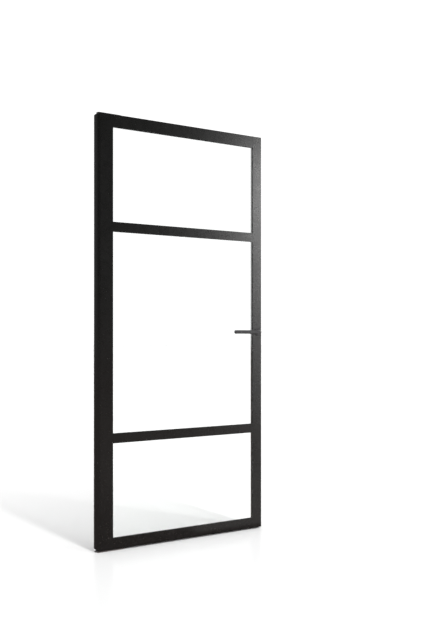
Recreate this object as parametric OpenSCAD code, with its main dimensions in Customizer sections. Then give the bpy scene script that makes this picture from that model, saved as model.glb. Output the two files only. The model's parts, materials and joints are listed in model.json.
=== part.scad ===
// Glass door: a framed pivot leaf with three clear panes, a lever latch and floor and head pivots.
// Millimetres. The pivot axis is x = 0, y = 0, the floor is z = 0 and the lever side faces -Y.

/* [Leaf] */
// Width of the leaf, from the rounded pivot edge to the lock edge
leaf_w = 930; // [700:5:1200]
// Height of the leaf
leaf_h = 2115; // [1900:5:2600]
// Thickness of the leaf, which is also the diameter of its rounded pivot edge
leaf_t = 50; // [46:1:56]
// Gap between the leaf and the floor
floor_gap = 7; // [6.5:0.5:14]
// Fall of the rounded pivot edge at its top and bottom ends
nose_drop = 11; // [6:0.5:12]
// Radius of the curve that the ends of the rounded pivot edge follow
nose_ease = 60; // [50:1:120]

/* [Frame] */
// Face width of the pivot stile, with its rounded edge
pivot_face = 88; // [80:1:120]
// Face width of the lock stile
lock_face = 54; // [49:1:70]
// Face height of the top rail
top_face = 62; // [45:1:120]
// Face height of the bottom rail
bottom_face = 55; // [45:1:200]
// Face height of the two glazing bars
bar_face = 49; // [44:1:80]
// Clear height of the top pane, and of the bottom pane
end_pane_h = 460; // [250:1:700]
// Wall thickness of the frame profiles
wall = 2; // [1.6:0.1:2.4]

/* [Glazing] */
// Overhang of the front lip in front of the glass
lip_w = 16; // [14:0.5:16.5]
// Thickness of the front lip
lip_t = 3; // [2.5:0.5:5]
// Thickness of the glass
glass_t = 8; // [5:1:10]
// Depth of the glass edge behind the lip
glass_bite = 10; // [8:0.5:11]
// Thickness of the rubber channel around each pane
rubber_t = 3; // [2:0.5:3]

/* [Handle] */
// Height of the spindle above the floor
spindle_h = 1065; // [900:5:1200]
// Distance from the lock edge to the spindle
backset = 21; // [19:0.5:21.5]
// Diameter of the lever bar
lever_d = 19; // [14:1:20]
// Length of the lever, from the spindle axis to its tip
lever_l = 165; // [110:1:180]
// Distance from the leaf face to the axis of the lever bar
lever_out = 38; // [36:1:60]
// Bend radius of the lever
lever_bend = 26; // [18:1:28]
// Diameter of the two rose covers
rose_d = 38; // [37:1:40]
// Diameter of the turn knob on the far side
knob_d = 28; // [24:1:40]

/* [Latch] */
// Projection of the latch bolt, and its travel
latch_throw = 10; // [7:0.5:10]
// Height of the latch bolt above the spindle
latch_rise = 32; // [30:1:40]
// Width of the lock faceplate
plate_w = 20; // [18:1:24]

/* [Pivots] */
// Diameter of the floor pin
floor_pin_d = 16; // [12:1:18]
// Diameter of the head pin
head_pin_d = 12; // [10:1:14]
// Thickness of the floor plate
floor_plate_t = 5; // [4:0.5:5.5]
// Thickness of the head plate
head_plate_t = 3; // [3:0.5:5]
// Length of the floor plate behind the pivot axis
floor_plate_l = 120; // [110:1:160]
// Length of the head plate behind the pivot axis
head_plate_l = 105; // [100:1:140]

/* [Hidden] */
$fn = 96;

// overshoot of a cut past the face that it opens
cut = 1;

// outline of the leaf
nose_x = -leaf_t / 2;
lock_x = leaf_w - leaf_t / 2;
front_y = -leaf_t / 2;
back_y = leaf_t / 2;
low_z = floor_gap;
high_z = floor_gap + leaf_h;

// axis of the curved pivot edge ends, across the leaf and below the end face
nose_chord = norm([nose_x, nose_drop]);
nose_reach = sqrt(pow(nose_ease, 2) - pow(nose_chord / 2, 2));
ease_x = nose_x / 2 + nose_reach * nose_drop / nose_chord;
ease_z = -nose_drop / 2 + nose_reach * nose_x / nose_chord;

// edges of the clear glass, and the tube walls behind the lips
pivot_sight = nose_x + pivot_face;
lock_sight = lock_x - lock_face;
pivot_tube = pivot_sight - lip_w;
lock_tube = lock_sight + lip_w;
low_sight = low_z + bottom_face;
high_sight = high_z - top_face;
lower_bar_z = low_sight + end_pane_h;
upper_bar_z = high_sight - end_pane_h - bar_face;

// clear span of each pane from its sill to its head
bottom_span = [low_sight, lower_bar_z];
middle_span = [lower_bar_z + bar_face, upper_bar_z];
top_span = [upper_bar_z + bar_face, high_sight];

// layers of the glazing from front to back
lip_back = front_y + lip_t;
glass_y = lip_back + rubber_t;
bead_y = glass_y + glass_t + rubber_t;
rubber_hide = 1.5;
bead_w = lip_w - 2;
bead_foot = 2;
bead_heel = 1;
bead_wall = 1.6;
block_l = 80;
block_inset = 1;

// joints of the frame
fit_gap = 0.2;
web_x = leaf_t / 2 - wall;
cleat_l = 60;
joint_screw_d = 5;
joint_screw_l = 34;
joint_head_d = 9;
joint_head_t = 4;
joint_screw_y = 11;
low_mid = (low_z + low_sight - lip_w) / 2;
high_mid = (high_z + high_sight + lip_w) / 2;
lower_mid = lower_bar_z + bar_face / 2;
upper_mid = upper_bar_z + bar_face / 2;
plug_t = 3;

// handle
spindle_x = lock_x - backset;
spindle_s = 8;
running_gap = 0.05;
rose_base_d = rose_d - 4;
rose_base_t = 5;
rose_t = 7;
rose_screw_r = (lever_d + rose_base_d) / 4;
rose_screw_d = 3.5;
rose_head_d = 5.6;
rose_screw_l = 14;
lever_y = front_y - lever_out;
neck_gap = 0.6;
lever_round = 6;
lever_grub = 3.5;
lever_grub_in = 0.6;
knob_l = 24;
knob_round = 4;
knob_collar = 6.5;
knob_grip = 16;
knob_cap = 6;
knob_grub = 4.5;
knob_grub_in = 1;
socket_l = 14;
grub_d = 4;
rose_edge = 2;
rose_gap = 0.5;
sink_t = 1.2;

// latch
case_x = lock_tube + wall + fit_gap;
case_wall = 1.2;
case_y = 8;
case_drop = 36;
case_rise = 20;
case_low = spindle_h - case_drop;
case_high = spindle_h + latch_rise + case_rise;
hub_d = 15.2;
hub_room = 0.5;
arm_r = 18;
arm_a = 40;
arm_tip = 2;
arm_half = 1.2;
arm_t = 4;
drive_gap = 0.3;
latch_z = spindle_h + latch_rise;
latch_half_z = 7;
latch_half_y = 6;
latch_gap = 0.25;
latch_land = 1;
latch_nose = 1.5;
latch_overlap = 0.7;
lug_front = spindle_x + arm_r * sin(arm_a) - arm_tip - drive_gap;
lug_t = 3;
lug_half_y = 2;
lug_rise = 0.7;
lug_low = spindle_h + arm_r * cos(arm_a) + lug_rise;
tail_t = 2;
latch_back = lug_front + latch_overlap;
spring_r = 4;
spring_wire = 1;
spring_turns = 5;
faceplate_drop = 68;
faceplate_rise = 62;
faceplate_low = spindle_h - faceplate_drop;
faceplate_high = latch_z + faceplate_rise;
faceplate_screw_in = 8;
faceplate_screw_z = [faceplate_low + faceplate_screw_in, faceplate_high - faceplate_screw_in];
bracket_t = 5;
bracket_half = 8;
bracket_out = 12;
bracket_in = 16;

// pivots
block_h = 60;
bush_wall = 4;
bush_room = 2;
bush_inset = 4;
pin_chamfer = 1;
washer_rim = 9;
washer_gap = 0.5;
floor_pin_in = 34;
head_pin_in = 28;
head_gap = 2;
thrust_gap = 0.1;
floor_plate_half = leaf_t / 2 - 3;
head_plate_half = leaf_t / 2 - 11;
floor_hole_d = 6.5;
floor_sink_t = 2.5;
floor_sink_w = 2.5;
floor_hole_x = [45, 95];
floor_hole_y = 11;
head_hole_d = 5.5;
head_sink_t = 2;
head_sink_w = 2;
head_hole_x = [45, 85];
block_screw_z = [20, 45];
block_screw_in = 11;
block_head_t = 3;
top_screw_drop = 8;
top_screw_z = high_z - block_h - top_screw_drop;

// helpers
module block(x, y, z) {
    translate([x[0], y[0], z[0]])
        cube([x[1] - x[0], y[1] - y[0], z[1] - z[0]]);
}

module rod_x(d, x, y, z) {
    translate([x[0], y, z])
        rotate([0, 90, 0])
            cylinder(d = d, h = x[1] - x[0]);
}

module rod_y(d, x, y, z) {
    translate([x, y[1], z])
        rotate([90, 0, 0])
            cylinder(d = d, h = y[1] - y[0]);
}

// a turned bar along +Z with a rounded far edge
module turned_bar(d, length, round) {
    rotate_extrude() {
        square([d / 2, length - round]);
        square([d / 2 - round, length]);
        translate([d / 2 - round, length - round])
            intersection() {
                circle(r = round);
                square(round);
            }
    }
}

// what the curve takes off the top end of the rounded pivot edge
module nose_top_waste() {
    difference() {
        block([nose_x - cut, cut], [front_y - cut, back_y + cut],
              [high_z - nose_drop - cut, high_z + cut]);
        rod_y(2 * nose_ease, ease_x, [front_y - 2 * cut, back_y + 2 * cut], high_z + ease_z);
    }
}

// the same at the bottom end
module nose_bottom_waste() {
    translate([0, 0, low_z + high_z])
        mirror([0, 0, 1])
            nose_top_waste();
}

// one screw along +X, with the underside of its head at x
module joint_screw(x, y, z) {
    rod_x(joint_head_d, [x - joint_head_t, x], y, z);
    rod_x(joint_screw_d, [x, x + joint_screw_l], y, z);
}

// the screws that hold a rail or bar at the height z, at both stiles
module joint_screws(z) {
    for (y = [-joint_screw_y, joint_screw_y]) {
        joint_screw(pivot_tube - wall, y, z);
        translate([lock_tube + wall, y, z])
            mirror([1, 0, 0])
                joint_screw(0, 0, 0);
    }
}

module joint_screw_holes(x, z) {
    for (y = [-joint_screw_y, joint_screw_y])
        rod_x(joint_screw_d, x, y, z);
}

// floor and head pivots
module pivot_plate_outline(half, length) {
    circle(r = half);
    translate([0, -half])
        square([length, 2 * half]);
}

// a countersunk screw hole down from z = 0
module sunk_hole(d, depth, sink_depth, sink_wide) {
    translate([0, 0, -depth - cut])
        cylinder(d = d, h = depth + 2 * cut);
    translate([0, 0, -sink_depth])
        cylinder(d1 = d, d2 = d + 2 * sink_wide, h = sink_depth);
}

module floor_plate() {
    color("#9a9ca0")
        difference() {
            linear_extrude(floor_plate_t)
                pivot_plate_outline(floor_plate_half, floor_plate_l);
            translate([0, 0, -cut])
                cylinder(d = floor_pin_d, h = floor_plate_t + 2 * cut);
            for (x = floor_hole_x)
                for (y = [-floor_hole_y, floor_hole_y])
                    translate([x, y, floor_plate_t])
                        sunk_hole(floor_hole_d, floor_plate_t, floor_sink_t, floor_sink_w);
        }
}

module floor_pin() {
    straight = low_z + floor_pin_in - pin_chamfer;
    color("#b6b8bc") {
        cylinder(d = floor_pin_d, h = straight);
        translate([0, 0, straight])
            cylinder(d1 = floor_pin_d, d2 = floor_pin_d - 2 * pin_chamfer, h = pin_chamfer);
    }
}

module head_plate() {
    color("#9a9ca0")
        translate([0, 0, high_z + head_gap])
            difference() {
                linear_extrude(head_plate_t)
                    pivot_plate_outline(head_plate_half, head_plate_l);
                translate([0, 0, -cut])
                    cylinder(d = head_pin_d, h = head_plate_t + 2 * cut);
                for (x = head_hole_x)
                    translate([x, 0, 0])
                        mirror([0, 0, 1])
                            sunk_hole(head_hole_d, head_plate_t, head_sink_t, head_sink_w);
            }
}

module head_pin() {
    straight = head_pin_in - pin_chamfer + head_gap + head_plate_t;
    color("#b6b8bc") {
        translate([0, 0, high_z - head_pin_in + pin_chamfer])
            cylinder(d = head_pin_d, h = straight);
        translate([0, 0, high_z - head_pin_in])
            cylinder(d1 = head_pin_d - 2 * pin_chamfer, d2 = head_pin_d, h = pin_chamfer);
    }
}

module thrust_washer() {
    thick = low_z - floor_plate_t - thrust_gap;
    color("#202123")
        translate([0, 0, floor_plate_t + thrust_gap])
            difference() {
                cylinder(d = floor_pin_d + 2 * washer_rim, h = thick);
                translate([0, 0, -cut])
                    cylinder(d = floor_pin_d + 2 * washer_gap, h = thick + 2 * cut);
            }
}

module bush(pin_d, length) {
    difference() {
        cylinder(d = pin_d + 2 * bush_wall, h = length);
        translate([0, 0, -cut])
            cylinder(d = pin_d + 2 * running_gap, h = length + 2 * cut);
    }
}

module bottom_bush() {
    color("#b08a4a")
        translate([0, 0, low_z + bush_inset])
            bush(floor_pin_d, floor_pin_in + bush_room - bush_inset);
}

module top_bush() {
    color("#b08a4a")
        translate([0, 0, high_z - head_pin_in - bush_room])
            bush(head_pin_d, head_pin_in + bush_room - bush_inset);
}

module pivot_block_outline() {
    circle(d = leaf_t - 2 * wall - 2 * fit_gap);
    translate([0, front_y + wall + fit_gap])
        square([web_x, leaf_t - 2 * wall - 2 * fit_gap]);
}

module pivot_block_screw_holes(z) {
    for (rise = block_screw_z)
        joint_screw_holes([web_x - block_screw_in, web_x + wall + cut], z + rise);
}

module bottom_pivot_block() {
    color("#8d8f93")
        difference() {
            translate([0, 0, low_z])
                linear_extrude(block_h)
                    pivot_block_outline();
            translate([0, 0, low_z - cut])
                cylinder(d = floor_pin_d + 2 * bush_wall, h = floor_pin_in + bush_room + cut);
            pivot_block_screw_holes(low_z);
            nose_bottom_waste();
        }
}

module top_pivot_block() {
    color("#8d8f93")
        difference() {
            translate([0, 0, high_z - block_h])
                linear_extrude(block_h)
                    pivot_block_outline();
            translate([0, 0, high_z - head_pin_in - bush_room])
                cylinder(d = head_pin_d + 2 * bush_wall, h = head_pin_in + bush_room + cut);
            pivot_block_screw_holes(top_screw_z);
            nose_top_waste();
        }
}

module pivot_block_screws() {
    color("#c4c6ca")
        for (z = [low_z, top_screw_z])
            for (rise = block_screw_z)
                for (y = [-joint_screw_y, joint_screw_y]) {
                    rod_x(joint_screw_d, [web_x - block_screw_in, web_x + wall], y, z + rise);
                    rod_x(joint_head_d, [web_x + wall, web_x + wall + block_head_t], y, z + rise);
                }
}

// frame of the leaf
module pivot_stile_outline() {
    difference() {
        union() {
            circle(d = leaf_t);
            translate([0, front_y])
                square([pivot_tube, leaf_t]);
            translate([0, front_y])
                square([pivot_sight, lip_t]);
        }
        circle(d = leaf_t - 2 * wall);
        translate([0, front_y + wall])
            square([web_x, leaf_t - 2 * wall]);
        translate([web_x + wall, front_y + wall])
            square([pivot_tube - web_x - 2 * wall, leaf_t - 2 * wall]);
    }
}

module pivot_stile() {
    color("#2b2c2e")
        difference() {
            translate([0, 0, low_z])
                linear_extrude(leaf_h)
                    pivot_stile_outline();
            for (z = [low_mid, lower_mid, upper_mid, high_mid])
                joint_screw_holes([pivot_tube - wall - cut, pivot_tube + cut], z);
            pivot_block_screw_holes(low_z);
            pivot_block_screw_holes(top_screw_z);
            nose_bottom_waste();
            nose_top_waste();
        }
}

module lock_stile_outline() {
    difference() {
        union() {
            translate([lock_tube, front_y])
                square([lock_x - lock_tube, leaf_t]);
            translate([lock_sight, front_y])
                square([lock_face, lip_t]);
        }
        translate([lock_tube + wall, front_y + wall])
            square([lock_x - lock_tube - 2 * wall, leaf_t - 2 * wall]);
    }
}

// a plate in the lock edge with round ends, grown all round by grow
module edge_plate(x, grow) {
    half = plate_w / 2 + grow;
    ends = [faceplate_low + plate_w / 2, faceplate_high - plate_w / 2];
    translate([x[0], 0, 0])
        rotate([90, 0, 90])
            linear_extrude(x[1] - x[0]) {
                translate([-half, ends[0]])
                    square([2 * half, ends[1] - ends[0]]);
                for (z = ends)
                    translate([0, z])
                        circle(r = half);
            }
}

module lock_stile() {
    color("#2b2c2e")
        difference() {
            translate([0, 0, low_z])
                linear_extrude(leaf_h)
                    lock_stile_outline();
            for (z = [low_mid, lower_mid, upper_mid, high_mid])
                joint_screw_holes([lock_tube - cut, lock_tube + wall + cut], z);
            edge_plate([lock_x - wall - cut, lock_x + cut], fit_gap / 2);
            rod_y(hub_d + 2 * hub_room, spindle_x, [front_y - cut, back_y + cut], spindle_h);
            for (z = [-rose_screw_r, rose_screw_r])
                rod_y(rose_screw_d, spindle_x, [front_y - cut, back_y + cut], spindle_h + z);
        }
}

// a level tube between the stiles, coped over their lips, with lips that run into its walls
module level_member(tube, lips) {
    difference() {
        block([pivot_tube, lock_tube], [front_y, back_y], tube);
        block([pivot_tube - cut, lock_tube + cut], [front_y + wall, back_y - wall],
              [tube[0] + wall, tube[1] - wall]);
        for (x = [[pivot_tube - cut, pivot_sight], [lock_sight, lock_tube + cut]])
            block(x, [front_y - cut, lip_back], [tube[0] - cut, tube[1] + cut]);
    }
    for (lip = lips)
        block([pivot_sight, lock_sight], [front_y, lip_back], lip);
}

module top_rail() {
    color("#2b2c2e")
        level_member([high_sight + lip_w, high_z], [[high_sight, high_sight + lip_w + wall]]);
}

module bottom_rail() {
    color("#2b2c2e")
        level_member([low_z, low_sight - lip_w], [[low_sight - lip_w - wall, low_sight]]);
}

module glazing_bar(z) {
    level_member([z + lip_w, z + bar_face - lip_w],
                 [[z, z + lip_w + wall], [z + bar_face - lip_w - wall, z + bar_face]]);
}

module upper_bar() {
    color("#2b2c2e")
        glazing_bar(upper_bar_z);
}

module lower_bar() {
    color("#2b2c2e")
        glazing_bar(lower_bar_z);
}

// a solid plug in each end of a level tube, which the joint screws pull against the stile
module tube_plugs(tube, middle) {
    difference() {
        union() {
            for (x = [[pivot_tube, pivot_tube + cleat_l], [lock_tube - cleat_l, lock_tube]])
                block(x, [lip_back + fit_gap, back_y - wall - fit_gap],
                      [tube[0] + wall + fit_gap, tube[1] - wall - fit_gap]);
        }
        joint_screw_holes([pivot_tube - cut, pivot_tube - wall + joint_screw_l], middle);
        joint_screw_holes([lock_tube + wall - joint_screw_l, lock_tube + cut], middle);
    }
}

module corner_cleats() {
    color("#a7a9ad") {
        tube_plugs([low_z, low_sight - lip_w], low_mid);
        tube_plugs([high_sight + lip_w, high_z], high_mid);
    }
}

module bar_spigots() {
    color("#a7a9ad") {
        tube_plugs([lower_bar_z + lip_w, lower_bar_z + bar_face - lip_w], lower_mid);
        tube_plugs([upper_bar_z + lip_w, upper_bar_z + bar_face - lip_w], upper_mid);
    }
}

module corner_screws() {
    color("#c4c6ca") {
        joint_screws(low_mid);
        joint_screws(high_mid);
    }
}

module bar_screws() {
    color("#c4c6ca") {
        joint_screws(lower_mid);
        joint_screws(upper_mid);
    }
}

module end_plugs() {
    color("#202123")
        for (z = [[low_z, low_z + plug_t], [high_z - plug_t, high_z]]) {
            block([web_x + wall + fit_gap, pivot_tube - wall - fit_gap],
                  [front_y + wall + fit_gap, back_y - wall - fit_gap], z);
            block([lock_tube + wall + fit_gap, lock_x - wall - fit_gap],
                  [front_y + wall + fit_gap, back_y - wall - fit_gap], z);
        }
}

// glazing
module pane(span) {
    block([pivot_sight - glass_bite, lock_sight + glass_bite], [glass_y, glass_y + glass_t],
          [span[0] - glass_bite, span[1] + glass_bite]);
}

module top_pane() {
    color("#cfe3df", 0.35)
        pane(top_span);
}

module middle_pane() {
    color("#cfe3df", 0.35)
        pane(middle_span);
}

module bottom_pane() {
    color("#cfe3df", 0.35)
        pane(bottom_span);
}

// a rubber channel of U section that wraps the edge of one pane
module rubber_channel(span) {
    grow = glass_bite + rubber_t;
    difference() {
        block([pivot_sight - grow, lock_sight + grow], [lip_back, bead_y],
              [span[0] - grow, span[1] + grow]);
        pane(span);
        block([pivot_sight - rubber_hide, lock_sight + rubber_hide], [lip_back - cut, bead_y + cut],
              [span[0] - rubber_hide, span[1] + rubber_hide]);
    }
}

module top_rubber() {
    color("#1b1b1c")
        rubber_channel(top_span);
}

module middle_rubber() {
    color("#1b1b1c")
        rubber_channel(middle_span);
}

module bottom_rubber() {
    color("#1b1b1c")
        rubber_channel(bottom_span);
}

module setting_blocks() {
    color("#3a3b3d")
        for (span = [bottom_span, middle_span, top_span])
            for (share = [0.25, 0.75]) {
                middle = pivot_sight + share * (lock_sight - pivot_sight);
                block([middle - block_l / 2, middle + block_l / 2],
                      [lip_back + block_inset, bead_y - block_inset],
                      [span[0] - lip_w, span[0] - glass_bite - rubber_t]);
            }
}

// a slanted glazing bead along +X, seated on z = 0, with mitred ends
module bead(length) {
    slant = (back_y - bead_y - bead_foot) / (bead_w - bead_heel);
    hollow = bead_y + bead_wall + (bead_w - 3 * bead_wall) * slant;
    difference() {
        rotate([90, 0, 90])
            linear_extrude(length)
                difference() {
                    polygon([[bead_y, 0], [bead_y, bead_w], [bead_y + bead_foot, bead_w],
                             [back_y, bead_heel], [back_y, 0]]);
                    polygon([[bead_y + bead_wall, bead_wall], [hollow, bead_wall],
                             [bead_y + bead_wall, bead_w - 2 * bead_wall]]);
                }
        translate([0, back_y + cut, 0])
            rotate([90, 0, 0])
                linear_extrude(back_y - bead_y + 2 * cut) {
                    polygon([[-cut, -cut], [bead_w + cut, bead_w + cut], [-cut, bead_w + cut]]);
                    polygon([[length + cut, -cut], [length + cut, bead_w + cut],
                             [length - bead_w - cut, bead_w + cut]]);
                }
    }
}

module bead_sill(span) {
    translate([pivot_tube, 0, span[0] - lip_w])
        bead(lock_tube - pivot_tube);
}

module bead_head(span) {
    translate([pivot_tube, 0, span[1] + lip_w])
        mirror([0, 0, 1])
            bead(lock_tube - pivot_tube);
}

module bead_lock(span) {
    translate([lock_tube, 0, span[0] - lip_w])
        rotate([0, -90, 0])
            bead(span[1] - span[0] + 2 * lip_w);
}

module bead_pivot(span) {
    translate([pivot_tube, 0, span[0] - lip_w])
        mirror([1, 0, 0])
            rotate([0, -90, 0])
                bead(span[1] - span[0] + 2 * lip_w);
}

module top_bead_head() {
    color("#2b2c2e")
        bead_head(top_span);
}

module top_bead_sill() {
    color("#2b2c2e")
        bead_sill(top_span);
}

module top_bead_pivot() {
    color("#2b2c2e")
        bead_pivot(top_span);
}

module top_bead_lock() {
    color("#2b2c2e")
        bead_lock(top_span);
}

module middle_bead_head() {
    color("#2b2c2e")
        bead_head(middle_span);
}

module middle_bead_sill() {
    color("#2b2c2e")
        bead_sill(middle_span);
}

module middle_bead_pivot() {
    color("#2b2c2e")
        bead_pivot(middle_span);
}

module middle_bead_lock() {
    color("#2b2c2e")
        bead_lock(middle_span);
}

module bottom_bead_head() {
    color("#2b2c2e")
        bead_head(bottom_span);
}

module bottom_bead_sill() {
    color("#2b2c2e")
        bead_sill(bottom_span);
}

module bottom_bead_pivot() {
    color("#2b2c2e")
        bead_pivot(bottom_span);
}

module bottom_bead_lock() {
    color("#2b2c2e")
        bead_lock(bottom_span);
}

// latch
module hub_hole() {
    rod_y(hub_d + 2 * running_gap, spindle_x, [-case_y - cut, case_y + cut], spindle_h);
}

module lock_case() {
    color("#8d8f93")
        difference() {
            block([case_x, lock_x - wall], [-case_y, case_y - case_wall], [case_low, case_high]);
            block([case_x + case_wall, lock_x], [-case_y + case_wall, case_y + cut],
                  [case_low + case_wall, case_high - case_wall]);
            hub_hole();
        }
}

module lock_cover() {
    color("#7d7f83")
        difference() {
            block([case_x, lock_x - wall], [case_y - case_wall, case_y], [case_low, case_high]);
            hub_hole();
        }
}

module faceplate_screw(z, length, head) {
    rod_x(rose_screw_d, [lock_x - length, lock_x - sink_t / 2], 0, z);
    translate([lock_x - sink_t, 0, z])
        rotate([0, 90, 0])
            cylinder(d1 = rose_screw_d, d2 = head, h = sink_t);
}

module lock_faceplate() {
    color("#b2b4b8")
        difference() {
            edge_plate([lock_x - wall, lock_x], 0);
            block([lock_x - wall - cut, lock_x + cut],
                  [-latch_half_y - latch_gap, latch_half_y + latch_gap],
                  [latch_z - latch_half_z - latch_gap, latch_z + latch_half_z + latch_gap]);
            for (z = faceplate_screw_z)
                faceplate_screw(z, wall + cut, rose_head_d);
        }
}

module lock_brackets() {
    color("#8d8f93")
        difference() {
            for (z = [[faceplate_low - bracket_out, faceplate_low + bracket_in],
                      [faceplate_high - bracket_in, faceplate_high + bracket_out]])
                block([lock_x - wall - bracket_t, lock_x - wall], [-bracket_half, bracket_half], z);
            for (z = faceplate_screw_z)
                faceplate_screw(z, wall + bracket_t + cut, rose_head_d);
        }
}

module faceplate_screws() {
    color("#c4c6ca")
        for (z = faceplate_screw_z)
            faceplate_screw(z, wall + bracket_t, rose_head_d);
}

module latch_bolt() {
    color("#c9cbcf") {
        translate([0, 0, latch_z - latch_half_z])
            linear_extrude(2 * latch_half_z)
                polygon([[latch_back, -latch_half_y], [lock_x + latch_land, -latch_half_y],
                         [lock_x + latch_throw, -latch_nose], [lock_x + latch_throw, latch_nose],
                         [lock_x + latch_land, latch_half_y], [latch_back, latch_half_y]]);
        block([lug_front - lug_t, latch_back + lug_t], [-lug_half_y, lug_half_y],
              [latch_z - latch_half_z, latch_z - latch_half_z + tail_t]);
        block([lug_front - lug_t, lug_front], [-lug_half_y, lug_half_y],
              [lug_low, latch_z - latch_half_z + tail_t / 2]);
    }
}

// a coil along X, swept as rings of points around the wire
module latch_spring() {
    start = case_x + case_wall + spring_wire / 2;
    length = latch_back - start - spring_wire / 2;
    rings = spring_turns * 16;
    sides = 8;
    radius = spring_wire / 2;
    points = [for (i = [0:rings]) for (j = [0:sides - 1])
        let(turn = 360 * spring_turns * i / rings, reach = spring_r + radius * cos(360 * j / sides))
            [start + length * i / rings + radius * sin(360 * j / sides),
             reach * cos(turn), latch_z + reach * sin(turn)]];
    skin = [for (i = [0:rings - 1]) for (j = [0:sides - 1])
        [i * sides + j, (i + 1) * sides + j,
         (i + 1) * sides + (j + 1) % sides, i * sides + (j + 1) % sides]];
    first = [for (j = [0:sides - 1]) j];
    last = [for (j = [sides - 1:-1:0]) rings * sides + j];
    color("#bfc1c5")
        polyhedron(points = points, faces = concat(skin, [first], [last]), convexity = 10);
}

module spindle_square(y) {
    half = spindle_s / 2;
    block([spindle_x - half, spindle_x + half], y, [spindle_h - half, spindle_h + half]);
}

module follower() {
    color("#9b8f78")
        difference() {
            union() {
                rod_y(hub_d, spindle_x, [-case_y, case_y], spindle_h);
                translate([spindle_x, 0, spindle_h])
                    rotate([0, arm_a, 0]) {
                        translate([-arm_half, -arm_t / 2, 0])
                            cube([2 * arm_half, arm_t, arm_r]);
                        translate([0, arm_t / 2, arm_r])
                            rotate([90, 0, 0])
                                cylinder(r = arm_tip, h = arm_t);
                    }
            }
            spindle_square([-case_y - cut, case_y + cut]);
        }
}

module spindle() {
    color("#a2a4a8")
        spindle_square([front_y - socket_l, back_y + knob_l - knob_cap]);
}

// handle
module lever() {
    bar_x = spindle_x - lever_bend;
    tip_x = spindle_x - lever_l;
    neck_y = lever_y + lever_bend;
    color("#5c5d60")
        difference() {
            union() {
                rod_y(lever_d, spindle_x, [neck_y, front_y - neck_gap], spindle_h);
                translate([bar_x, neck_y, spindle_h])
                    rotate([0, 0, -90])
                        rotate_extrude(angle = 90)
                            translate([lever_bend, 0])
                                circle(d = lever_d);
                translate([bar_x, lever_y, spindle_h])
                    rotate([0, -90, 0])
                        turned_bar(lever_d, bar_x - tip_x, lever_round);
            }
            spindle_square([front_y - socket_l, front_y]);
            translate([spindle_x, front_y - rose_t - lever_grub, spindle_h - lever_d])
                cylinder(d = grub_d, h = lever_d - spindle_s / 2);
        }
}

module turn_knob() {
    head_y = back_y + rose_t + neck_gap;
    end_y = back_y + knob_l;
    color("#5c5d60")
        difference() {
            union() {
                rod_y(lever_d, spindle_x, [back_y + neck_gap, back_y + rose_t + knob_round], spindle_h);
                translate([spindle_x, head_y, spindle_h])
                    rotate([-90, 0, 0])
                        turned_bar(knob_d, end_y - head_y, knob_round);
            }
            for (x = [[-knob_d, -knob_grip / 2], [knob_grip / 2, knob_d]])
                block([spindle_x + x[0], spindle_x + x[1]], [head_y + knob_collar, end_y + cut],
                      [spindle_h - knob_d, spindle_h + knob_d]);
            spindle_square([back_y, back_y + knob_l - knob_cap]);
            translate([spindle_x, back_y + rose_t + knob_grub, spindle_h - knob_d])
                cylinder(d = grub_d, h = knob_d - spindle_s / 2);
        }
}

module grub_screws() {
    color("#55575a") {
        translate([spindle_x, front_y - rose_t - lever_grub, spindle_h - lever_d / 2 + lever_grub_in])
            cylinder(d = grub_d, h = lever_d / 2 - lever_grub_in - spindle_s / 2);
        translate([spindle_x, back_y + rose_t + knob_grub, spindle_h - knob_d / 2 + knob_grub_in])
            cylinder(d = grub_d, h = knob_d / 2 - knob_grub_in - spindle_s / 2);
    }
}

// one countersunk screw along +Y with its head in a rose base on the front face
module rose_screw(z) {
    head_y = front_y - rose_base_t;
    rod_y(rose_screw_d, spindle_x, [head_y + sink_t / 2, head_y + rose_screw_l], spindle_h + z);
    translate([spindle_x, head_y, spindle_h + z])
        rotate([-90, 0, 0])
            cylinder(d1 = rose_head_d, d2 = rose_screw_d, h = sink_t);
}

module rose_base() {
    difference() {
        rod_y(rose_base_d, spindle_x, [front_y - rose_base_t, front_y], spindle_h);
        rod_y(lever_d + 2 * running_gap, spindle_x, [front_y - rose_t, front_y + cut], spindle_h);
        for (z = [-rose_screw_r, rose_screw_r])
            rose_screw(z);
    }
}

module rose_cover() {
    difference() {
        translate([spindle_x, front_y, spindle_h])
            rotate([90, 0, 0])
                turned_bar(rose_d, rose_t, rose_edge);
        rod_y(rose_base_d + fit_gap, spindle_x,
              [front_y - rose_base_t - fit_gap, front_y + cut], spindle_h);
        rod_y(lever_d + 2 * rose_gap, spindle_x, [front_y - rose_t - cut, front_y], spindle_h);
    }
}

module front_rose_base() {
    color("#8d8f93")
        rose_base();
}

module front_rose_cover() {
    color("#5c5d60")
        rose_cover();
}

module rear_rose_base() {
    color("#8d8f93")
        mirror([0, 1, 0])
            rose_base();
}

module rear_rose_cover() {
    color("#5c5d60")
        mirror([0, 1, 0])
            rose_cover();
}

module rose_screws() {
    color("#c4c6ca")
        for (z = [-rose_screw_r, rose_screw_r]) {
            rose_screw(z);
            mirror([0, 1, 0])
                rose_screw(z);
        }
}

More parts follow.
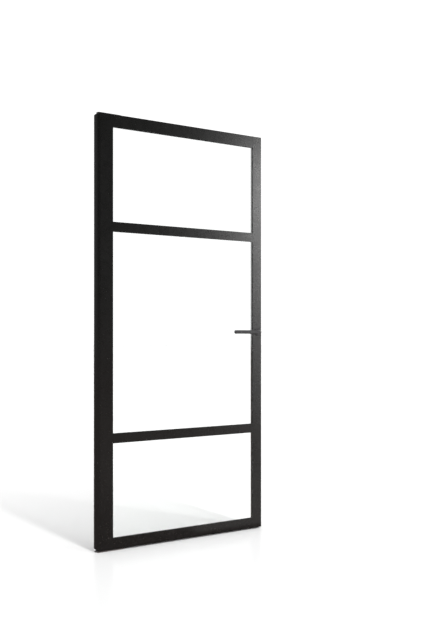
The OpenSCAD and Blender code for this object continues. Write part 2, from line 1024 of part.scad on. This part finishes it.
floor_plate();
floor_pin();
head_plate();
head_pin();
thrust_washer();
bottom_bush();
top_bush();
bottom_pivot_block();
top_pivot_block();
pivot_block_screws();
pivot_stile();
lock_stile();
top_rail();
bottom_rail();
upper_bar();
lower_bar();
corner_cleats();
bar_spigots();
corner_screws();
bar_screws();
end_plugs();
top_pane();
middle_pane();
bottom_pane();
top_rubber();
middle_rubber();
bottom_rubber();
setting_blocks();
top_bead_head();
top_bead_sill();
top_bead_pivot();
top_bead_lock();
middle_bead_head();
middle_bead_sill();
middle_bead_pivot();
middle_bead_lock();
bottom_bead_head();
bottom_bead_sill();
bottom_bead_pivot();
bottom_bead_lock();
lock_case();
lock_cover();
lock_faceplate();
lock_brackets();
faceplate_screws();
latch_bolt();
latch_spring();
follower();
spindle();
lever();
turn_knob();
grub_screws();
front_rose_base();
front_rose_cover();
rear_rose_base();
rear_rose_cover();
rose_screws();
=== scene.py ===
"""Finishes, studio and camera for a slim black framed glass door on floor and head pivots."""

import json
from math import cos, pi, radians, sin

import bmesh
import bpy
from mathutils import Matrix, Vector


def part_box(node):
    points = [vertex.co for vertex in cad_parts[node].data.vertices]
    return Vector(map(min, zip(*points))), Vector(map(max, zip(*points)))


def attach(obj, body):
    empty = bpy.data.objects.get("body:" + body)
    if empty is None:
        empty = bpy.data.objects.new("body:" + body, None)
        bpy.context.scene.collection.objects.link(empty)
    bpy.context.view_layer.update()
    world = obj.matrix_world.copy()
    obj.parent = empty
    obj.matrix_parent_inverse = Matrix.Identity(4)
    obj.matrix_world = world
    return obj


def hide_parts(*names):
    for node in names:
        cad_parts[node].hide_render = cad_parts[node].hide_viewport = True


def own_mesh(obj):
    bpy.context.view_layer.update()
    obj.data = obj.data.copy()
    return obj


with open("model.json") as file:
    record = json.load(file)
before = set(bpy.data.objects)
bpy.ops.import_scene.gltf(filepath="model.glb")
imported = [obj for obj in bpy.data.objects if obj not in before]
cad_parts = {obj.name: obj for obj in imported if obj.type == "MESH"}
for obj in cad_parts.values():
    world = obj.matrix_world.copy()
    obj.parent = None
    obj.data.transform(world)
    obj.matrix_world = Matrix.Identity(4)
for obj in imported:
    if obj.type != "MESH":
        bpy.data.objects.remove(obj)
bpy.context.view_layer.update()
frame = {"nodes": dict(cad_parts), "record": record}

NODES = frame["nodes"]
SLOT_OF = {part["node"]: part["material_slot"] for part in frame["record"]["subparts"]}

# Photo frame, in pixels
IMAGE_H = 640
FOCAL_PX = 668.0
HORIZON_PX = 334.4

# Camera, in metres
CAMERA_AT = Vector((-1.003, -3.129, 1.052))
CAMERA_LOOK = Vector((0.4617, 0.887, 0.0))
SENSOR_MM = 36.0

# Edge rounding of each finish, in metres
EDGE_R = {
    "frame_black": 0.0008,
    "handle_graphite": 0.0006,
    "clear_glass": 0.0005,
    "black_rubber": 0.0003,
    "steel": 0.0004,
    "bright_aluminium": 0.0004,
    "block_plastic": 0.0004,
}
EDGE_STEPS = 3
UNEASED_NODES = {"pivot_stile", "lock_faceplate"}
SHARP_ANGLE = radians(35)
WELD_GAP = 0.000002

# Latch spring, in metres, with rings for each turn and sides around the wire
SPRING_WIRE_R = 0.0005
SPRING_TURNS = 5
SPRING_RINGS = 40
SPRING_SIDES = 12

# Darker and lighter tone of each finish
COAT_TONES = ((0.0054, 0.0054, 0.0051), (0.0075, 0.0075, 0.0071))
HANDLE_TONES = ((0.046, 0.046, 0.0475), (0.061, 0.0605, 0.062))
RUBBER_TONES = ((0.012, 0.012, 0.012), (0.022, 0.022, 0.022))
PLASTIC_TONES = ((0.03, 0.03, 0.031), (0.042, 0.042, 0.043))
STEEL_TONES = ((0.42, 0.42, 0.43), (0.56, 0.56, 0.57))
ALUMINIUM_TONES = ((0.6, 0.61, 0.62), (0.72, 0.72, 0.73))
BRONZE_TONES = ((0.42, 0.27, 0.12), (0.56, 0.38, 0.18))
SCREW_TONES = ((0.5, 0.51, 0.54), (0.62, 0.63, 0.66))

# Smoother and rougher patches of each finish
COAT_ROUGHNESS = (0.26, 0.30)
HANDLE_ROUGHNESS = (0.34, 0.44)
RUBBER_ROUGHNESS = (0.70, 0.85)
PLASTIC_ROUGHNESS = (0.50, 0.62)
STEEL_ROUGHNESS = (0.26, 0.40)
ALUMINIUM_ROUGHNESS = (0.32, 0.46)
BRONZE_ROUGHNESS = (0.24, 0.38)
SCREW_ROUGHNESS = (0.22, 0.36)
HANDLE_GLOSS = 0.25

# Glass: its cast, what it lets through to a shadow, and its index of refraction
GLASS_TINT = (0.982, 0.996, 0.989)
GLASS_SHADOW = (0.35, 0.36, 0.355)
GLASS_IOR = 1.5

# Part of a noise signal that a finish spans, and how far the grain is drawn out along each axis
GRAIN_SPAN = (0.3, 0.7)
EVEN = (1.0, 1.0, 1.0)
BRUSHED_ALONG_X = (60.0, 1.0, 1.0)
BRUSHED_ALONG_Z = (1.0, 1.0, 60.0)
RUBBED_ALONG_X = (30.0, 1.0, 1.0)
ROLLED_ALONG_X = (3.0, 1.0, 1.0)

# Floor, in metres and shares of the light
FLOOR_R = 60.0
FLOOR_SIDES = 96
FLOOR_ALBEDO = 0.9
# Floor colour seen through the panes: a painted lift, lighter than the floor itself
FLOOR_PAINTED_LIFT = 1.03
FLOOR_ROUGHNESS = 0.2
FLOOR_GLOSS = 0.05
# Darker, warmer floor colour that glossy rays see: painted shade in the door's reflections of the floor
FLOOR_PAINTED_SHADE = (0.24, 0.195, 0.18)

# Room, in brightness against white: as seen, as fill, and as glossy surfaces see its sides
SKY_SEEN = 1.15
SKY_FILL = 0.7
SKY_FRONT = 0.02
SKY_BACK = 1.5
SKY_SIDE = 0.35
BACKDROP_TO = Vector((0.46, 0.89, 0.0))
BACKDROP_SPAN = (0.1, 0.7)
SIDE_TO = Vector((-1.0, 0.0, 0.0))
SIDE_SPAN = (0.6, 1.0)

# Lamps, in metres and watts
KEY_SIDE = Vector((0.26, -1.0, 0.0)).normalized()
KEY_LEAN = radians(25)
KEY_AWAY = 40.0
KEY_SIZE = (2.0, 37.0)
KEY_WATTS = 7800.0
PANEL_AT = Vector((3.08, -3.1, 0.0))
PANEL_SIZE = (0.3, 3.2)
PANEL_TILES = 8
PANEL_WATTS = (1.75, 14.0)
PANEL_RISE = 1.6
FOOT_AT = Vector((1.4, -0.95, 0.01))
FOOT_SIZE = (1.7, 1.75)
FOOT_WATTS = 4.2

UP = Vector((0.0, 0.0, 1.0))


def add(tree, kind, **values):
    """A new shader node, with plain values on the inputs that are named."""
    made = tree.nodes.new("ShaderNode" + kind)
    for name, value in values.items():
        made.inputs[name.replace("_", " ")].default_value = value
    return made


def add_math(tree, operation, first, second):
    """A maths node on two signals."""
    made = add(tree, "Math")
    made.operation = operation
    tree.links.new(first, made.inputs[0])
    tree.links.new(second, made.inputs[1])
    return made


def start_material(name):
    """A node material, its tree and its main shader."""
    material = bpy.data.materials.new(name)
    material.use_nodes = True
    return material, material.node_tree, material.node_tree.nodes["Principled BSDF"]


def choose_surface(tree, signal, usual, other):
    """Shows the usual shader, and the other one where the signal is 1."""
    choose = add(tree, "MixShader")
    tree.links.new(signal, choose.inputs["Fac"])
    tree.links.new(usual.outputs["BSDF"], choose.inputs[1])
    tree.links.new(other.outputs["BSDF"], choose.inputs[2])
    tree.links.new(choose.outputs["Shader"], tree.nodes["Material Output"].inputs["Surface"])


def grain(tree, size, detail=3.0, stretch=EVEN):
    """Noise with features about size metres across, drawn out along an axis where stretch is over 1."""
    place = add(tree, "TexCoord")
    mapping = add(tree, "Mapping", Scale=[1.0 / s for s in stretch])
    texture = add(tree, "TexNoise", Scale=1.0 / size, Detail=detail)
    tree.links.new(place.outputs["Object"], mapping.inputs["Vector"])
    tree.links.new(mapping.outputs["Vector"], texture.inputs["Vector"])
    return texture.outputs["Fac"]


def vary_colour(tree, shader, signal, tones):
    """Base colour that drifts between two close tones."""
    ramp = add(tree, "ValToRGB")
    for stop, at, tone in zip(ramp.color_ramp.elements, GRAIN_SPAN, tones):
        stop.position = at
        stop.color = (*tone, 1.0)
    tree.links.new(signal, ramp.inputs["Fac"])
    tree.links.new(ramp.outputs["Color"], shader.inputs["Base Color"])


def add_rise(tree, signal, span, levels):
    """A value that goes from one level to the other as a signal crosses a span."""
    rise = add(tree, "MapRange", From_Min=span[0], From_Max=span[1], To_Min=levels[0], To_Max=levels[1])
    tree.links.new(signal, rise.inputs["Value"])
    return rise.outputs["Result"]


def vary_roughness(tree, shader, signal, levels):
    """Roughness that drifts between two levels."""
    tree.links.new(add_rise(tree, signal, GRAIN_SPAN, levels), shader.inputs["Roughness"])


def add_bump(tree, shader, signal, depth, strength):
    """Fine relief, depth metres deep."""
    relief = add(tree, "Bump", Strength=strength, Distance=depth)
    tree.links.new(signal, relief.inputs["Height"])
    tree.links.new(relief.outputs["Normal"], shader.inputs["Normal"])


def powder_coat(name):
    """Satin black powder coat: fine orange peel over a slow drift in tone and gloss."""
    material, tree, shader = start_material(name)
    vary_colour(tree, shader, grain(tree, size=0.12, detail=4.0), COAT_TONES)
    vary_roughness(tree, shader, grain(tree, size=0.03), COAT_ROUGHNESS)
    add_bump(tree, shader, grain(tree, size=0.0016, detail=1.0), depth=0.00002, strength=0.2)
    return material


def satin_graphite(name):
    """Smoother satin graphite of the handle set, with faint rubbed streaks along the bar."""
    material, tree, shader = start_material(name)
    shader.inputs["Specular IOR Level"].default_value = HANDLE_GLOSS
    vary_colour(tree, shader, grain(tree, size=0.04, detail=4.0), HANDLE_TONES)
    vary_roughness(tree, shader, grain(tree, size=0.0012, stretch=RUBBED_ALONG_X), HANDLE_ROUGHNESS)
    add_bump(tree, shader, grain(tree, size=0.0006, detail=2.0), depth=0.00002, strength=0.3)
    return material


def clear_glass(name):
    """Clear toughened glass with a faint green cast and a slow roll wave. Lamps shine through it."""
    material, tree, shader = start_material(name)
    shader.inputs["Base Color"].default_value = (*GLASS_TINT, 1.0)
    shader.inputs["Roughness"].default_value = 0.0
    shader.inputs["IOR"].default_value = GLASS_IOR
    shader.inputs["Transmission Weight"].default_value = 1.0
    roll_wave = grain(tree, size=0.25, detail=1.0, stretch=ROLLED_ALONG_X)
    add_bump(tree, shader, roll_wave, depth=0.00002, strength=0.2)
    clear = add(tree, "BsdfTransparent", Color=(*GLASS_SHADOW, 1.0))
    path = add(tree, "LightPath")
    choose_surface(tree, path.outputs["Is Shadow Ray"], shader, clear)
    return material


def matt_rubber(name):
    """Extruded glazing rubber with a dry, dusty skin."""
    material, tree, shader = start_material(name)
    vary_colour(tree, shader, grain(tree, size=0.01, detail=5.0), RUBBER_TONES)
    vary_roughness(tree, shader, grain(tree, size=0.004), RUBBER_ROUGHNESS)
    add_bump(tree, shader, grain(tree, size=0.0004), depth=0.00004, strength=0.4)
    return material


def matt_plastic(name):
    """Moulded plastic with a spark-eroded texture."""
    material, tree, shader = start_material(name)
    vary_colour(tree, shader, grain(tree, size=0.01), PLASTIC_TONES)
    vary_roughness(tree, shader, grain(tree, size=0.002), PLASTIC_ROUGHNESS)
    add_bump(tree, shader, grain(tree, size=0.0005), depth=0.00003, strength=0.5)
    return material


def brushed_metal(name, tones, roughness, stretch):
    """Bare metal with fine grain lines, drawn out where stretch is over 1."""
    material, tree, shader = start_material(name)
    shader.inputs["Metallic"].default_value = 1.0
    lines = grain(tree, size=0.0004, detail=4.0, stretch=stretch)
    vary_colour(tree, shader, lines, tones)
    vary_roughness(tree, shader, lines, roughness)
    add_bump(tree, shader, lines, depth=0.00002, strength=0.4)
    return material


def make_finishes():
    """One material for each slot in the record."""
    made = {
        "frame_black": powder_coat("frame_black"),
        "handle_graphite": satin_graphite("handle_graphite"),
        "clear_glass": clear_glass("clear_glass"),
        "black_rubber": matt_rubber("black_rubber"),
        "block_plastic": matt_plastic("block_plastic"),
    }
    for name, tones, roughness, stretch in (
        ("steel", STEEL_TONES, STEEL_ROUGHNESS, BRUSHED_ALONG_Z),
        ("bright_aluminium", ALUMINIUM_TONES, ALUMINIUM_ROUGHNESS, BRUSHED_ALONG_X),
        ("bronze", BRONZE_TONES, BRONZE_ROUGHNESS, EVEN),
        ("screw_steel", SCREW_TONES, SCREW_ROUGHNESS, EVEN),
    ):
        made[name] = brushed_metal(name, tones, roughness, stretch)
    return made


def dress_nodes(finishes):
    """Gives each solid its finish, and eases its sharp edges where that keeps a clean mesh."""
    for name, thing in NODES.items():
        slot = SLOT_OF[name]
        thing.data.materials.clear()
        thing.data.materials.append(finishes[slot])
        if slot in EDGE_R and name not in UNEASED_NODES:
            weld = thing.modifiers.new("weld", "WELD")
            weld.merge_threshold = WELD_GAP
            bevel = thing.modifiers.new("edges", "BEVEL")
            bevel.width = EDGE_R[slot]
            bevel.segments = EDGE_STEPS
            bevel.limit_method = "ANGLE"
            bevel.angle_limit = SHARP_ANGLE
            bevel.harden_normals = True


def coil_mesh(name, low, high):
    """A round wire coil along X that fills the box between two corners."""
    middle = (low + high) / 2
    reach = (high.y - low.y) / 2 - SPRING_WIRE_R
    start = low.x + SPRING_WIRE_R
    length = high.x - low.x - 2 * SPRING_WIRE_R
    rings = SPRING_TURNS * SPRING_RINGS
    coil = bmesh.new()
    loops = []
    for i in range(rings + 1):
        turn = 2 * pi * SPRING_TURNS * i / rings
        along = start + length * i / rings
        loop = []
        for j in range(SPRING_SIDES):
            around = 2 * pi * j / SPRING_SIDES
            out = reach + SPRING_WIRE_R * cos(around)
            x = along + SPRING_WIRE_R * sin(around)
            y = middle.y + out * cos(turn)
            z = middle.z + out * sin(turn)
            loop.append(coil.verts.new((x, y, z)))
        loops.append(loop)
    for near, far in zip(loops, loops[1:]):
        for j in range(SPRING_SIDES):
            k = (j + 1) % SPRING_SIDES
            coil.faces.new((near[j], far[j], far[k], near[k])).smooth = True
    coil.faces.new(loops[0])
    coil.faces.new(loops[-1])
    bmesh.ops.recalc_face_normals(coil, faces=coil.faces)
    mesh = bpy.data.meshes.new(name)
    coil.to_mesh(mesh)
    coil.free()
    return mesh


def add_spring(finish):
    """The latch spring as a round coil, carried with the leaf in place of the solid spring part."""
    low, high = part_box("latch_spring")
    mesh = coil_mesh("latch_spring_coil", low, high)
    mesh.materials.append(finish)
    spring = bpy.data.objects.new("latch_spring_coil", mesh)
    bpy.context.scene.collection.objects.link(spring)
    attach(spring, "leaf")
    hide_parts("latch_spring")
    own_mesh(spring)


def add_floor():
    """A pale floor with a faint sheen: painted shade in the door's gloss, painted lift through the panes."""
    bpy.ops.mesh.primitive_circle_add(vertices=FLOOR_SIDES, radius=FLOOR_R, fill_type="NGON")
    floor = bpy.context.object
    floor.name = "studio_floor"
    material, tree, shader = start_material("studio_floor")
    shader.inputs["Roughness"].default_value = FLOOR_ROUGHNESS
    shader.inputs["Specular IOR Level"].default_value = FLOOR_GLOSS
    path = add(tree, "LightPath")
    through = path.outputs["Is Transmission Ray"]
    # Painted lift: the floor is lighter where a ray reaches it through glass
    albedo_and_painted_lift = add_rise(tree, through, (0.0, 1.0), (FLOOR_ALBEDO, FLOOR_PAINTED_LIFT))
    tree.links.new(albedo_and_painted_lift, shader.inputs["Base Color"])
    # Painted shade: a dark copy of the floor, shown to glossy rays in place of the lit floor
    painted_shade = add(tree, "BsdfDiffuse", Color=(*FLOOR_PAINTED_SHADE, 1.0))
    mirrored = add_math(tree, "SUBTRACT", path.outputs["Is Glossy Ray"], through)
    mirrored.use_clamp = True
    choose_surface(tree, mirrored.outputs["Value"], shader, painted_shade)
    floor.data.materials.append(material)


def glow(tree, toward, span, levels):
    """Brightness that rises from one level to the other as a direction turns toward a side of the room."""
    place = add(tree, "TexCoord")
    facing = add(tree, "VectorMath")
    facing.operation = "DOT_PRODUCT"
    facing.inputs[1].default_value = toward
    tree.links.new(place.outputs["Generated"], facing.inputs[0])
    return add_rise(tree, facing.outputs["Value"], span, levels)


def add_world():
    """A white room: seen as white, softer as fill, and dark in front of the door to glossy surfaces."""
    world = bpy.data.worlds.new("studio")
    bpy.context.scene.world = world
    world.use_nodes = True
    tree = world.node_tree
    sky = tree.nodes["Background"]
    sky.inputs["Color"].default_value = (1.0, 1.0, 1.0, 1.0)
    path = add(tree, "LightPath")
    seen = add_math(tree, "MAXIMUM", path.outputs["Is Camera Ray"], path.outputs["Is Transmission Ray"])
    backdrop = glow(tree, BACKDROP_TO, BACKDROP_SPAN, (SKY_FRONT, SKY_BACK))
    side = glow(tree, SIDE_TO, SIDE_SPAN, (0.0, SKY_SIDE))
    mirrored = add_math(tree, "ADD", backdrop, side)
    unseen = add(tree, "Mix", A=SKY_FILL)
    tree.links.new(path.outputs["Is Glossy Ray"], unseen.inputs["Factor"])
    tree.links.new(mirrored.outputs["Value"], unseen.inputs["B"])
    level = add(tree, "Mix", B=SKY_SEEN)
    tree.links.new(seen.outputs["Value"], level.inputs["Factor"])
    tree.links.new(unseen.outputs["Result"], level.inputs["A"])
    tree.links.new(level.outputs["Result"], sky.inputs["Strength"])


def add_softbox(name, at, aim, size, watts):
    """A flat lamp at a point, aimed along a direction, with its second size upright."""
    data = bpy.data.lights.new(name, "AREA")
    data.energy = watts
    data.shape = "RECTANGLE"
    data.size, data.size_y = size
    lamp = bpy.data.objects.new(name, data)
    lamp.location = at
    lamp.rotation_euler = aim.to_track_quat("-Z", "Y").to_euler()
    lamp.visible_transmission = False
    bpy.context.scene.collection.objects.link(lamp)
    return lamp


def add_key():
    """A high even lamp that lays the floor shadow behind the door."""
    key_at = (KEY_SIDE * sin(KEY_LEAN) + UP * cos(KEY_LEAN)) * KEY_AWAY
    key = add_softbox("key", key_at, -key_at, KEY_SIZE, KEY_WATTS)
    key.visible_glossy = False


def add_panel():
    """A tall panel of lamps, brighter toward its top, which the lock stile mirrors."""
    low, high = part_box("lock_stile")
    aim = (low + high) / 2 - PANEL_AT
    aim.z = 0.0
    wide, tall = PANEL_SIZE
    dim, bright = PANEL_WATTS
    for i in range(PANEL_TILES):
        watts = dim + (bright - dim) * (i / (PANEL_TILES - 1)) ** PANEL_RISE
        at = PANEL_AT + UP * tall * (i + 0.5) / PANEL_TILES
        add_softbox(f"panel_{i}", at, aim, (wide, tall / PANEL_TILES), watts)


def add_foot():
    """A dim sheet of light on the floor, right of the door, which the low coat mirrors."""
    foot = add_softbox("foot", FOOT_AT, UP, FOOT_SIZE, FOOT_WATTS)
    foot.visible_camera = False


def add_camera():
    """The photo's viewpoint: level, with the horizon a little below the middle."""
    data = bpy.data.cameras.new("camera")
    data.sensor_width = SENSOR_MM
    data.lens = FOCAL_PX / IMAGE_H * SENSOR_MM
    data.shift_y = (HORIZON_PX - IMAGE_H / 2) / IMAGE_H
    camera = bpy.data.objects.new("camera", data)
    camera.location = CAMERA_AT
    camera.rotation_euler = CAMERA_LOOK.to_track_quat("-Z", "Y").to_euler()
    bpy.context.scene.collection.objects.link(camera)
    bpy.context.scene.camera = camera


finishes = make_finishes()
dress_nodes(finishes)
add_spring(finishes[SLOT_OF["latch_spring"]])
add_floor()
add_world()
add_key()
add_panel()
add_foot()
add_camera()
bpy.context.scene.view_settings.view_transform = "Standard"
